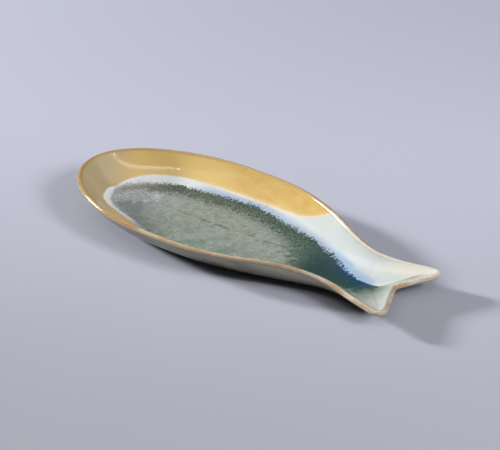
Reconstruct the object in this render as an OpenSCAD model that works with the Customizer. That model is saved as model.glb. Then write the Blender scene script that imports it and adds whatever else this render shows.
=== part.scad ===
// Fish shaped serving platter in glazed stoneware.
// The nose points along -X, the tail along +X, and the foot stands on Z = 0.
// The origin lies under the middle of the platter's box.
// One thin shell of clay follows a rim line. Straight rays run from the rim line to a forked
// spine line, and a cove profile along each ray gives the wall, the floor and the tail's valleys.

/* [Outline] */
// Length from the nose to the corners of the tail, along the middle of the rim
length = 400; // [350:1:470]
// Distance from the nose to the widest place of the body
widest_x = 142; // [115:1:170]
// Width of the body between the middles of the two rims
body_w = 168; // [140:1:190]
// Length of the tail, from the neck, its narrowest place, to the tail's corners
tail_l = 68; // [58:1:85]
// Width of the neck between the middles of the two rims
neck_w = 74; // [64:1:90]
// Width of the tail from corner to corner, before the corners are rounded
tail_w = 103; // [90:1:125]
// Depth of the notch between the two tail lobes
notch_d = 23; // [14:1:32]
// Radius at the bottom of the notch
notch_r = 9; // [7:0.5:16]
// Length of each tail edge that the rounding of a corner takes up
tip_round = 19; // [16:0.5:24]

/* [Section] */
// Height of the top of the rim over the body
rim_h = 32; // [24:0.5:44]
// How far the rim of the tail lies below the rim of the body
tail_dip = 12.5; // [0:0.5:16]
// How far the rim rises towards the nose
nose_lift = 2.5; // [0:0.5:6]
// Width in plan of the sloping wall, from the rim to the flat floor
wall_w = 32; // [26:0.5:36]
// Thickness of the fired clay
clay_t = 4.5; // [3.5:0.1:6]
// Thickness of one coat of glaze
glaze_t = 0.5; // [0.3:0.05:0.8]

/* [Tail valleys] */
// Distance from the neck to the fork of the two valleys
fork_lead = 13; // [6:0.5:20]
// Depth of the valley at the fork, below the rim beside it
fork_depth = 10.5; // [8:0.5:13]
// Depth of each valley at its end near the tail corner
tip_depth = 3; // [1.5:0.5:4]
// Distance from each tail corner to the end of its valley
tip_inset = 17; // [15:0.5:21]

/* [Foot] */
// Height of the foot ring
foot_h = 2.5; // [1.5:0.1:5]
// Width of the foot ring's standing face
foot_t = 5; // [3:0.5:8]
// Bare clay beside the foot ring at the widest place, up to the glaze under the wall
foot_gap = 8; // [6:0.5:16]
// Distance from the nose to the front of the foot ring
foot_front = 56; // [52:1:80]
// Distance from the back of the foot ring to the neck
foot_back = 90; // [85:1:130]

/* [Hidden] */
oval_sides = 96;

// Fullness of the flank and of the tail's leading edge, as plain numbers
flank_power = 1.5;
fin_bend_share = 0.15;
// Cove of the wall along the body, at the neck, and of the valleys at the tips: higher is steeper
// at the rim and flatter at the bottom
wall_cove = 1.8;
neck_cove = 4.5;
tip_cove = 1.7;
// Part of each ray that a wall may fill, which leaves a flat strip along the spine line
ray_share = 0.9;
// Where along the length the rim starts and stops dipping, and where the nose's lift ends
dip_from_share = 0.64;
dip_to_share = 0.91;
lift_share = 0.3;
// Where along the length the floor starts to rise towards the fork
rise_share = 0.66;

// Rays: from the nose along the far side, round the far lobe to the notch
n_head = 16;
n_flank = 16;
n_fin = 7;
n_tip = 4;
// Rays on either side of the neck over which the wall's cove changes to the neck's
n_neck = 10;
ray_fork = n_head + n_flank;
ray_tip = ray_fork + n_fin + n_tip;
ray_notch = 2 * ray_tip - ray_fork;
rays = 2 * ray_notch;

// Places of the rings across the wall, from the rim to the floor, and steps round the lip
ring_shares = [0, 0.1, 0.22, 0.35, 0.49, 0.64, 0.81, 1];
rings = len(ring_shares) - 1;
lip_steps = 6;

// The ochre coat reaches down the wall to this ring, and along the rim to these two rays
ochre_rings = 5;
ochre_far_rays = n_head + 10;
ochre_near_rays = n_head - 2;

neck_x = length - tail_l;
half_body = body_w / 2;
half_neck = neck_w / 2;
half_tail = tail_w / 2;
corner = [length, half_tail];
notch = [length - notch_d, 0];
fork = [neck_x + fork_lead, 0];
// The rounding of a tail corner, as a share of the leading edge and of the trailing edge
fin_cut_share = tip_round / norm(corner - [neck_x, half_neck]);
trail_cut_share = tip_round / norm(corner - notch);
notch_share = notch_r * notch_d / pow(half_tail, 2);
rim_top = rim_h - glaze_t - clay_t / 2;
floor_z = foot_h + clay_t / 2;
fork_z = rim_z(fork.x) - fork_depth;
tip_centre = corner + tip_inset * unit(unit([neck_x, half_neck] - corner) + unit(notch - corner));
tip_z = rim_z(tip_centre.x) - tip_depth;

function unit(v) = v / norm(v);
function smooth(u) = let (s = min(max(u, 0), 1)) s * s * (3 - 2 * s);
// Bend that starts flat at u = 0 and runs nearly straight to 1 at u = 1
function bend(u, k) = (sqrt(u * u + k * k) - k) / (sqrt(1 + k * k) - k);

function rim_z(x) =
    rim_top - tail_dip * smooth((x / length - dip_from_share) / (dip_to_share - dip_from_share))
    + nose_lift * pow(max(0, 1 - x / (lift_share * length)), 2);

function head_point(u) = [widest_x * (1 - cos(90 * u)), half_body * sin(90 * u)];
function flank_point(u) =
    [widest_x + (neck_x - widest_x) * u,
     half_neck + (half_body - half_neck) * (1 + cos(180 * pow(u, flank_power))) / 2];
function fin_point(u) =
    [neck_x + (length - neck_x) * u, half_neck + (half_tail - half_neck) * bend(u, fin_bend_share)];
function trail_point(v) = [notch.x + notch_d * bend(v, notch_share), half_tail * v];
function tip_point(q) =
    pow(1 - q, 2) * fin_point(1 - fin_cut_share) + 2 * q * (1 - q) * corner
    + q * q * trail_point(1 - trail_cut_share);

// Rim line in plan on the far side, for ray i from the nose to the notch
function half_rim(i) =
    i <= n_head ? head_point(i / n_head)
    : i <= ray_fork ? flank_point((i - n_head) / n_flank)
    : i <= ray_fork + n_fin ? fin_point((1 - fin_cut_share) * (i - ray_fork) / n_fin)
    : i <= ray_tip + n_tip ? tip_point((i - ray_tip + n_tip) / (2 * n_tip))
    : trail_point((1 - trail_cut_share) * (ray_notch - i) / n_fin);

// Along the body the spine point lies where the rim's square line meets the middle
function head_spine(p) = [widest_x + (p.x - widest_x) * (1 - pow(half_body / widest_x, 2)), 0];
function flank_slope(u) =
    u == 0 ? 0
    : -(half_body - half_neck) / 2 * sin(180 * pow(u, flank_power)) * PI * flank_power
      * pow(u, flank_power - 1) / (neck_x - widest_x);
function flank_spine(p, u) = [p.x + p.y * flank_slope(u) + fork_lead * u * u, 0];
// In a lobe it runs from the fork to the end of the valley
function lobe_share(i) = 1 - pow(abs(i - ray_tip) / (ray_tip - ray_fork), 1.4);
function half_spine(i) =
    i <= n_head ? head_spine(half_rim(i))
    : i <= ray_fork ? flank_spine(half_rim(i), (i - n_head) / n_flank)
    : fork + (tip_centre - fork) * lobe_share(i);
function spine_z(i) =
    i <= ray_fork
    ? floor_z + (fork_z - floor_z) * smooth((half_spine(i).x - rise_share * length)
                                            / (fork.x - rise_share * length))
    : fork_z + (tip_z - fork_z) * lobe_share(i);
function cove_power(i) =
    let (side_cove = wall_cove + (neck_cove - wall_cove) * smooth(1 - abs(i - ray_fork) / n_neck))
    i <= ray_fork ? side_cove : side_cove + (tip_cove - side_cove) * lobe_share(i);

// Every ray of the platter: its rim point, spine point and cove, mirrored to the near side
function far_index(i) = i <= ray_notch ? i : rays - i;
function side(i) = i <= ray_notch ? 1 : -1;
rim = [for (i = [0:rays - 1]) let (p = half_rim(far_index(i))) [p.x, side(i) * p.y, rim_z(p.x)]];
spine = [for (i = [0:rays - 1])
         let (p = half_spine(far_index(i))) [p.x, side(i) * p.y, spine_z(far_index(i))]];
cove = [for (i = [0:rays - 1]) cove_power(far_index(i))];
reach = [for (i = [0:rays - 1])
         min(ray_share, wall_w / norm([spine[i].x - rim[i].x, spine[i].y - rim[i].y]))];

// Middle of the clay at share s of the wall on ray i
function middle(i, s) =
    let (t = s * reach[i], drop = 1 - pow(1 - s, cove[i]), a = rim[i], b = spine[i])
    [a.x + (b.x - a.x) * t, a.y + (b.y - a.y) * t, a.z + (b.z - a.z) * drop];
function along_ray(i, s) =
    let (a = rim[i], b = spine[i])
    [(b.x - a.x) * reach[i], (b.y - a.y) * reach[i],
     (b.z - a.z) * cove[i] * pow(1 - s, cove[i] - 1)];
function next_ray(i) = (i + 1) % rays;
function last_ray(i) = (i + rays - 1) % rays;
function square_to(i, s) =
    unit(cross(along_ray(i, s), middle(next_ray(i), s) - middle(last_ray(i), s)));
function outwards(i) = unit(cross(square_to(i, 0), middle(next_ray(i), 0) - middle(last_ray(i), 0)));

// One ring of points at a distance from the clay's middle: over it, round the lip or under it
function over(s, d) = [for (i = [0:rays - 1]) middle(i, s) + d * square_to(i, s)];
function lip(a, d) =
    [for (i = [0:rays - 1]) middle(i, 0) + d * (cos(a) * square_to(i, 0) + sin(a) * outwards(i))];

half_clay = clay_t / 2;
half_wall = half_clay + glaze_t;
function inside_rings(d) = [for (s = ring_shares) over(s, d)];
function lip_rings(d) = [for (j = [0:lip_steps]) lip(180 * j / lip_steps, d)];
function outside_rings(d) = [for (s = ring_shares) over(s, -d)];

function flat(lists) = [for (list = lists) for (item = list) item];
function turned(faces) = [for (f = faces) [f[0], f[2], f[1]]];
function moved(faces, n) = [for (f = faces) [for (p = f) p + n]];
function two(a, b, c, d) = [[a, b, c], [a, c, d]];

// Point number of ray i on ring k of a stack of rings
function at(i, k) = k * rays + (i + rays) % rays;

// Cells of a band of rings, with the rays going clockwise seen from outside
function cell(i, k) = two(at(i, k), at(i + 1, k), at(i + 1, k + 1), at(i, k + 1));
function band(k0, k1) = flat([for (k = [k0:k1 - 1]) for (i = [0:rays - 1]) cell(i, k)]);

// Strips that close the floor between opposite rays of ring k: body, fork and lobes
function body_strip(i, k) =
    i == 0 ? [[at(0, k), at(1, k), at(-1, k)]]
    : two(at(i, k), at(i + 1, k), at(-i - 1, k), at(-i, k));
function lobe_strip(j, k, far) =
    let (a = at(ray_fork + j, k), b = at(ray_fork + j + 1, k),
         c = at(ray_notch - j - 1, k), d = at(ray_notch - j, k),
         e = at(-ray_fork - j, k), f = at(-ray_fork - j - 1, k),
         g = at(-ray_notch + j + 1, k), h = at(-ray_notch + j, k))
    j == ray_tip - ray_fork - 1 ? (far ? [[a, b, d]] : [[h, f, e]])
    : far ? two(a, b, c, d) : two(h, g, f, e);
lobe_strips = ray_tip - ray_fork;
function body_floor(k) =
    concat(flat([for (i = [0:ray_fork - 1]) body_strip(i, k)]),
           [[at(ray_fork, k), at(ray_notch, k), at(-ray_fork, k)]]);
function lobe_floor(k, far) = flat([for (j = [0:lobe_strips - 1]) lobe_strip(j, k, far)]);
function whole_floor(k) = concat(body_floor(k), lobe_floor(k, true), lobe_floor(k, false));

// Side walls that close a coat along a run of rays on ring k, or along the rings of ray i
function ring_wall(i0, i1, k, n, inner) =
    flat([for (i = [i0:i1 - 1]) edge(inner ? at(i + 1, k) : at(i, k), inner ? at(i, k) : at(i + 1, k), n)]);
function ray_wall(i, k0, k1, n, ahead) =
    flat([for (k = [k0:k1 - 1]) edge(ahead ? at(i, k) : at(i, k + 1), ahead ? at(i, k + 1) : at(i, k), n)]);
// Wall under the edge from a to b of the coat's outer face
function edge(a, b, n) = two(b, a, a + n, b + n);

// A coat is its outer faces, the same faces turned on the clay, and the walls between
module coat(outer, inner, faces, walls) {
    n = len(flat(outer));
    polyhedron(points = concat(flat(outer), flat(inner)),
               faces = concat(faces, turned(moved(faces, n)), walls));
}

points_over = rays * (rings + 1);

// The platter's box along X is that of its glazed lip, and its middle goes over the origin
lip_ends = [for (p = flat(lip_rings(half_wall))) p.x];
middle_x = (min(lip_ends) + max(lip_ends)) / 2;
// Flat oval of this length and width
module oval(l, w) {
    polygon([for (j = [0:oval_sides - 1]) let (a = 360 * j / oval_sides) [l * cos(a), w * sin(a)] / 2]);
}
module place() { translate([-middle_x, 0, 0]) children(); }

module clay_body() {
    upper = inside_rings(half_clay);
    lower = outside_rings(half_clay);
    edge_rings = lip_rings(half_clay);
    // From the floor's edge over the wall to the lip, round it and back under
    stack = concat([for (k = [rings:-1:1]) upper[k]], edge_rings, [for (k = [1:rings]) lower[k]]);
    last = len(stack) - 1;
    color("rosybrown") place()
        polyhedron(points = flat(stack),
                   faces = concat(turned(band(0, last)), whole_floor(0), turned(whole_floor(last))));
}

module foot_ring() {
    foot_l = neck_x - foot_back - foot_front;
    foot_w = body_w - 2 * (wall_w + foot_gap);
    color("peru") place() translate([foot_front + foot_l / 2, 0, 0]) linear_extrude(height = foot_h)
        difference() {
            oval(foot_l, foot_w);
            oval(foot_l - 2 * foot_t, foot_w - 2 * foot_t);
        }
}

module rim_glaze() {
    outer = lip_rings(half_wall);
    n = rays * (lip_steps + 1);
    color("sienna") place()
        coat(outer, lip_rings(half_clay), turned(band(0, lip_steps)),
             concat(ring_wall(0, rays, 0, n, true), ring_wall(0, rays, lip_steps, n, false)));
}

module ochre_glaze() {
    first = rays - ochre_near_rays;
    last = rays + ochre_far_rays;
    faces = flat([for (k = [0:ochre_rings - 1]) for (i = [first:last - 1]) cell(i, k)]);
    color("goldenrod") place()
        coat(inside_rings(half_wall), inside_rings(half_clay), faces,
             concat(ring_wall(first, last, 0, points_over, false),
                    ring_wall(first, last, ochre_rings, points_over, true),
                    ray_wall(first, 0, ochre_rings, points_over, false),
                    ray_wall(last, 0, ochre_rings, points_over, true)));
}

module white_glaze() {
    first = rays - ochre_near_rays;
    middle_ray = rays + ochre_far_rays;
    last = rays + ray_notch;
    faces = concat(
        flat([for (k = [ochre_rings:rings - 1]) for (i = [first:middle_ray - 1]) cell(i, k)]),
        flat([for (k = [0:rings - 1]) for (i = [middle_ray:last - 1]) cell(i, k)]),
        lobe_floor(rings, true));
    color("aliceblue") place()
        coat(inside_rings(half_wall), inside_rings(half_clay), faces,
             concat(ring_wall(first, middle_ray, ochre_rings, points_over, false),
                    ring_wall(middle_ray, last, 0, points_over, false),
                    ring_wall(first, rays + ray_fork, rings, points_over, true),
                    ray_wall(first, ochre_rings, rings, points_over, false),
                    ray_wall(middle_ray, 0, ochre_rings, points_over, false),
                    ray_wall(last, 0, rings, points_over, true),
                    edge(at(last, rings), at(ray_fork, rings), points_over)));
}

module green_glaze() {
    first = ray_notch;
    last = rays - ochre_near_rays;
    faces = concat(flat([for (k = [0:rings - 1]) for (i = [first:last - 1]) cell(i, k)]),
                   body_floor(rings), lobe_floor(rings, false));
    color("darkseagreen") place()
        coat(inside_rings(half_wall), inside_rings(half_clay), faces,
             concat(ring_wall(first, last, 0, points_over, false),
                    ray_wall(first, 0, rings, points_over, false),
                    ray_wall(last, 0, rings, points_over, true),
                    ring_wall(last, rays + ray_fork, rings, points_over, false),
                    edge(at(ray_fork, rings), at(ray_notch, rings), points_over)));
}

module outside_glaze() {
    n = points_over;
    color("beige") place()
        coat(outside_rings(half_wall), outside_rings(half_clay), turned(band(0, rings)),
             concat(ring_wall(0, rays, 0, n, true), ring_wall(0, rays, rings, n, false)));
}

clay_body();
foot_ring();
rim_glaze();
ochre_glaze();
white_glaze();
green_glaze();
outside_glaze();
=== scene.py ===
"""A fish shaped stoneware platter, standing on a pale table.

The platter is one pressed shell of clay on a foot ring, under coats of glaze: ochre on the head and
the far wall, a white halo that widens into the far flank and tail lobe, a grey green pool on the
floor, honey brown on the lip and cream under the wall. Every surface is worked out from the same
few sizes as the solids, in millimetres along the platter from its nose, and then put in its place.
"""
from __future__ import annotations

import logging
import math
from dataclasses import dataclass, field
from enum import Enum
from functools import reduce

import bpy
import numpy as np
from mathutils import Matrix, Vector


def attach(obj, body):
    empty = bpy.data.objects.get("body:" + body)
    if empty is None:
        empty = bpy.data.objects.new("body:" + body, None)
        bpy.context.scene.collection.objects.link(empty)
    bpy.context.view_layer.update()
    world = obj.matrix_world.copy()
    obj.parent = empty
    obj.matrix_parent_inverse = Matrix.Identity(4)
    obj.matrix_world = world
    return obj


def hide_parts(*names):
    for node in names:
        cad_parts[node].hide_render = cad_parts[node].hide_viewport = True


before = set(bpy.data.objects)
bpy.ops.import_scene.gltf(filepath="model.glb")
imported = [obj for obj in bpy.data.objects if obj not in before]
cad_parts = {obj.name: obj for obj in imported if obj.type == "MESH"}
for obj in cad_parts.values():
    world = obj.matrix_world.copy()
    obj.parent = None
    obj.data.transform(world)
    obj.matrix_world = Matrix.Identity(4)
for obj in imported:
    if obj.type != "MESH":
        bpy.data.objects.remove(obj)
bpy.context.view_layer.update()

LOG = logging.getLogger("platter")
MM = 0.001
ROOT = "root"

Array = np.ndarray
Socket = bpy.types.NodeSocket
Material = bpy.types.Material
Piece = bpy.types.Object
Colour = tuple[int, int, int]
Span = tuple[float, float]
Edge = tuple[Span, ...]


def unit(vectors: Array) -> Array:
    """Vectors at length one: each divided by the square root of its own squares' sum."""
    return vectors / np.maximum(np.linalg.norm(vectors, axis=-1, keepdims=True), 1e-12)


def between(low: Array, high: Array, share: Array) -> Array:
    """A share of the way from low to high: low plus share times their difference."""
    return low + (high - low) * share


def smooth(u: Array) -> Array:
    """An S curve from 0 to 1: three u squared less two u cubed, with u held between 0 and 1."""
    u = np.clip(u, 0, 1)
    return u * u * (3 - 2 * u)


def bend(u: Array, k: float) -> Array:
    """A hyperbola from 0 to 1, flat at 0: the root of u squared plus k squared, less k, over that at 1."""
    return (np.sqrt(u * u + k * k) - k) / (np.sqrt(1 + k * k) - k)


def through(places: Array, points: list[Span]) -> Array:
    """A soft curve through given points.

    Each stretch is a cubic whose slopes at its ends are the harmonic means of the chords' slopes,
    and zero where the chords turn back, so that the curve never swings past a point.

    Args:
        places: where the curve is wanted.
        points: (place, value) pairs in rising order of place.

    Returns:
        The curve's value at each place, held level past both ends.
    """
    x, y = np.array(points, float).T
    chord = np.diff(y) / np.diff(x)
    same = chord[1:] * chord[:-1] > 0
    total = np.where(same, chord[1:] + chord[:-1], 1)
    slope = np.zeros_like(y)
    slope[1:-1] = np.where(same, 2 * chord[1:] * chord[:-1] / total, 0)
    places = np.clip(places, x[0], x[-1])
    k = np.clip(np.searchsorted(x, places, side="right") - 1, 0, len(x) - 2)
    wide = x[k + 1] - x[k]
    u = (places - x[k]) / wide
    return (y[k] * (1 + 2 * u) * (1 - u) ** 2 + wide * slope[k] * u * (1 - u) ** 2
            + y[k + 1] * u * u * (3 - 2 * u) + wide * slope[k + 1] * u * u * (u - 1))


def ring_cells(rings: int, count: int, closed: bool = False) -> Array:
    """Cells of a grid of closed rings, anticlockwise seen from the rings' right.

    Args:
        rings: how many rings there are.
        count: how many points a ring has.
        closed: whether the last ring is joined to the first.

    Returns:
        Four point numbers for each cell, ring by ring.
    """
    k, j = np.meshgrid(np.arange(rings if closed else rings - 1), np.arange(count), indexing="ij")
    low, high, right = k * count, (k + 1) % rings * count, (j + 1) % count
    return np.stack([low + j, low + right, high + right, high + j], -1).reshape(-1, 4)


@dataclass(frozen=True)
class PlatterForm:
    """The middle of the clay, as a surface of two parameters, in millimetres from the nose.

    place runs round the rim from the nose over the far side (+Y) to the notch and back along the
    near side. drop runs from 0 at the rim over 1 at the wall's foot to 2 at the spine, the line
    where the two sides meet.
    """
    length: float = 400.0
    widest_x: float = 142.0
    body_w: float = 168.0
    tail_l: float = 68.0
    neck_w: float = 74.0
    tail_w: float = 103.0
    notch_d: float = 23.0
    notch_r: float = 9.0
    tip_round: float = 19.0
    rim_h: float = 32.0
    tail_dip: float = 12.5
    nose_lift: float = 2.5
    wall_w: float = 32.0
    clay_t: float = 4.5
    glaze_t: float = 0.5
    fork_lead: float = 13.0
    fork_depth: float = 10.5
    tip_depth: float = 3.0
    tip_inset: float = 17.0
    foot_h: float = 2.5
    head_places: int = 16
    flank_places: int = 16
    fin_places: int = 7
    tip_places: int = 4
    neck_places: int = 10
    flank_power: float = 1.5
    fin_bend_share: float = 0.15
    wall_cove: float = 1.8
    neck_cove: float = 4.5
    tip_cove: float = 1.7
    lobe_power: float = 1.4
    ray_share: float = 0.9
    dip_from_share: float = 0.64
    dip_to_share: float = 0.91
    lift_share: float = 0.3
    rise_share: float = 0.66
    middle_x: float = 197.06
    slope_step: float = 0.04
    last_slope_drop: float = 1.97
    crease_reach: float = 2.5
    crease_samples: int = 9
    crease_end: float = 3.0
    crease_gain: float = 2.5
    shared_drop: float = 1.1

    @property
    def fork_place(self) -> int:
        """Where the far fin begins, whose ray ends at the fork."""
        return self.head_places + self.flank_places

    @property
    def tip_place(self) -> int:
        """The middle of the far tip's round."""
        return self.fork_place + self.fin_places + self.tip_places

    @property
    def notch_place(self) -> int:
        """The notch between the two lobes."""
        return 2 * self.tip_place - self.fork_place

    @property
    def places(self) -> int:
        """The length of the whole rim in places."""
        return 2 * self.notch_place

    @property
    def neck(self) -> Array:
        """The far end of the neck's width."""
        return np.array([self.length - self.tail_l, self.neck_w / 2])

    @property
    def corner(self) -> Array:
        """The far corner of the tail, before it is rounded."""
        return np.array([self.length, self.tail_w / 2])

    @property
    def notch(self) -> Array:
        """The bottom of the notch."""
        return np.array([self.length - self.notch_d, 0.0])

    @property
    def fork(self) -> Array:
        """The fork, where the valleys of the lobes meet the dish."""
        return np.array([self.neck[0] + self.fork_lead, 0.0])

    @property
    def tip_centre(self) -> Array:
        """Where a lobe's valley ends, inside its tip, on the line that halves the tip's angle."""
        half = unit(unit(self.neck - self.corner) + unit(self.notch - self.corner))
        return self.corner + self.tip_inset * half

    @property
    def half_clay(self) -> float:
        """From the clay's middle to its face."""
        return self.clay_t / 2

    @property
    def half_wall(self) -> float:
        """From the clay's middle to the face of the glaze."""
        return self.clay_t / 2 + self.glaze_t

    @property
    def lip_quarter(self) -> float:
        """Round the lip from its crown to the wall, over the glaze."""
        return math.pi / 2 * self.half_wall

    @property
    def floor_z(self) -> float:
        """Height of the clay's middle on the floor."""
        return self.foot_h + self.half_clay

    @property
    def fork_z(self) -> float:
        """Height of the clay's middle at the fork."""
        return float(self.rim_z(self.fork[0])) - self.fork_depth

    def rim_z(self, x: Array) -> Array:
        """Height of the clay's middle at the rim: level, lower on the tail, a little raised at the nose."""
        dip = smooth((x / self.length - self.dip_from_share) / (self.dip_to_share - self.dip_from_share))
        lift = np.maximum(0, 1 - x / (self.lift_share * self.length)) ** 2
        return self.rim_h - self.half_wall - self.tail_dip * dip + self.nose_lift * lift

    def fin(self, u: Array) -> Array:
        """Leading edge of a lobe: from the neck out to the corner, bending over a hyperbola."""
        out = bend(u, self.fin_bend_share) * (self.tail_w - self.neck_w) / 2
        return np.stack([self.neck[0] + self.tail_l * u, self.neck[1] + out], -1)

    def trail(self, v: Array) -> Array:
        """Trailing edge of a lobe: from the notch out to the corner, round the notch's own radius."""
        back = self.notch_d * bend(v, self.notch_r * self.notch_d / self.corner[1] ** 2)
        return np.stack([self.notch[0] + back, self.corner[1] * v], -1)

    def half_rim(self, i: Array) -> Array:
        """The far half of the rim in plan.

        A quarter ellipse for the head, a cosine that falls from the widest place to the neck, the
        fin's leading edge, a parabola round the tip and the trailing edge back to the notch.
        """
        fin_cut = self.tip_round / np.linalg.norm(self.corner - self.neck)
        trail_cut = self.tip_round / np.linalg.norm(self.corner - self.notch)
        turn = np.clip(i / self.head_places, 0, 1) * math.pi / 2
        head = np.stack([self.widest_x * (1 - np.cos(turn)), self.body_w / 2 * np.sin(turn)], -1)
        u = np.clip((i - self.head_places) / self.flank_places, 0, 1)
        fall = (self.body_w - self.neck_w) / 4 * (1 + np.cos(math.pi * u ** self.flank_power))
        flank = np.stack([between(self.widest_x, self.neck[0], u), self.neck[1] + fall], -1)
        fin = self.fin(np.clip((1 - fin_cut) * (i - self.fork_place) / self.fin_places, 0, 1))
        q = np.clip((i - self.tip_place + self.tip_places) / (2 * self.tip_places), 0, 1)[..., None]
        tip = ((1 - q) ** 2 * self.fin(np.array(1 - fin_cut)) + 2 * q * (1 - q) * self.corner
               + q * q * self.trail(np.array(1 - trail_cut)))
        trail = self.trail(np.clip((1 - trail_cut) * (self.notch_place - i) / self.fin_places, 0, 1))
        ends = [self.head_places, self.fork_place, self.fork_place + self.fin_places,
                self.tip_place + self.tip_places]
        return np.select([(i <= end)[..., None] for end in ends], [head, flank, fin, tip], trail)

    def lobe_share(self, i: Array) -> Array:
        """How far along its lobe's valley a ray ends: 0 at the fork, 1 at the tip's centre."""
        out = np.abs(np.clip((i - self.tip_place) / (self.tip_place - self.fork_place), -1, 1))
        return np.where(i > self.fork_place, 1 - out ** self.lobe_power, 0)

    def half_spine(self, i: Array) -> Array:
        """Where the far half's rays end: square to the rim on head and flank, in the valley on a lobe."""
        x, y = np.moveaxis(self.half_rim(i), -1, 0)
        head_x = self.widest_x + (x - self.widest_x) * (1 - (self.body_w / 2 / self.widest_x) ** 2)
        u = np.clip((i - self.head_places) / self.flank_places, 0, 1)
        steep = (self.flank_power * math.pi * np.sqrt(u) * np.sin(math.pi * u ** self.flank_power)
                 * (self.body_w - self.neck_w) / 4 / (self.neck[0] - self.widest_x))
        flank_x = x - y * steep + self.fork_lead * u * u
        share = self.lobe_share(i)
        valley_x, valley_y = (between(self.fork[k], self.tip_centre[k], share) for k in (0, 1))
        x = np.select([i <= self.head_places, i <= self.fork_place], [head_x, flank_x], valley_x)
        start = self.rise_share * self.length
        ramp = between(self.floor_z, self.fork_z, smooth((x - start) / (self.fork[0] - start)))
        valley_z = between(self.fork_z, self.rim_z(self.tip_centre[0]) - self.tip_depth, share)
        return np.stack([x, valley_y, np.where(i <= self.fork_place, ramp, valley_z)], -1)

    def halved(self, place: Array) -> tuple[Array, Array]:
        """The place's twin on the far half, and whether it lies on that half itself."""
        place = np.mod(place, self.places)
        far = place <= self.notch_place
        return np.where(far, place, self.places - place), far

    def ray(self, place: Array) -> tuple[Array, Array, Array, Array]:
        """The straight ray under a place on the rim.

        Returns:
            The rim point, the step from it to the spine, the power of the wall's cove and the
            wall's share of the ray in plan.
        """
        i, far = self.halved(place)
        mirror = np.stack([np.ones(i.shape), np.where(far, 1.0, -1.0), np.ones(i.shape)], -1)
        half = self.half_rim(i)
        rim = np.concatenate([half, self.rim_z(half[..., :1])], -1) * mirror
        way = self.half_spine(i) * mirror - rim
        near_neck = smooth(1 - np.abs(i - self.fork_place) / self.neck_places)
        cove = between(between(self.wall_cove, self.neck_cove, near_neck), self.tip_cove, self.lobe_share(i))
        reach = np.minimum(self.ray_share, self.wall_w / np.linalg.norm(way[..., :2], axis=-1))
        return rim, way, cove, reach

    def covered(self, drop: Array, reach: Array) -> Array:
        """The share of the ray above a drop, in plan: reach times drop, and past drop 1 on to the spine."""
        return np.where(drop < 1, drop * reach, reach + (drop - 1) * (1 - reach))

    def middle(self, place: Array, drop: Array) -> Array:
        """A point on the clay's middle surface.

        In plan it lies on the ray, past the share that the drop covers. Its height falls by one
        less (1 - drop) to the power of the cove.
        """
        rim, way, cove, reach = self.ray(place)
        along = self.covered(drop, reach)
        return rim + way * np.stack([along, along, 1 - (1 - np.minimum(drop, 1)) ** cove], -1)

    def wall_mm(self, place: Array, drop: Array) -> Array:
        """Distance down from the rim along the ray, in plan."""
        _, way, _, reach = self.ray(place)
        return self.covered(drop, reach) * np.linalg.norm(way[..., :2], axis=-1)

    def across(self, place: Array, drop: Array) -> Array:
        """A small step round the rim, on the middle surface."""
        return self.middle(place + self.slope_step, drop) - self.middle(place - self.slope_step, drop)

    def normal(self, place: Array, drop: Array) -> Array:
        """The upward normal: the cross product of the steps along the ray and round the rim."""
        drop = np.clip(drop, 0, self.last_slope_drop)
        _, way, cove, reach = self.ray(place)
        share = np.where(drop < 1, reach, 1 - reach)
        down = cove * (1 - np.minimum(drop, 1)) ** (cove - 1)
        return unit(np.cross(way * np.stack([share, share, down], -1), self.across(place, drop)))

    def mean_normal(self, place: Array, drop: Array) -> Array:
        """The mean of the normals at evenly spread places either way, the nearest weighing most."""
        steps = np.linspace(-self.crease_reach, self.crease_reach, self.crease_samples)
        return unit(sum(self.normal(place + step, drop) * (1 - (step / self.crease_end) ** 2)
                        for step in steps))

    def even_normal(self, place: Array, drop: Array) -> Array:
        """The normal, blended along the rim in the lobes, whose creases the glaze fills.

        In the near lobe's valley it is shared with the ray that meets it from the other side.
        """
        i, far = self.halved(place)
        share = smooth(self.crease_gain * self.lobe_share(i))[..., None]
        even = unit(between(self.normal(place, drop), self.mean_normal(place, drop), share))
        other = self.mean_normal(2 * (self.places - self.tip_place) - place, drop)
        met = smooth((drop - self.shared_drop) / (2 - self.shared_drop))[..., None]
        return np.where(far[..., None], even, unit(even + other * share * met))

    def lip(self, place: Array, angle: Array, away: float) -> tuple[Array, Array]:
        """A point on the rounded lip and its normal: a half circle round the rim's middle line.

        It turns from the wall's normal to the outward one, which is square to it and to the rim.
        """
        rim = np.zeros_like(place)
        up = self.normal(place, rim)
        outward = unit(np.cross(up, self.across(place, rim)))
        out = np.cos(angle)[..., None] * up + np.sin(angle)[..., None] * outward
        return self.middle(place, rim) + out * away, out


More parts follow.
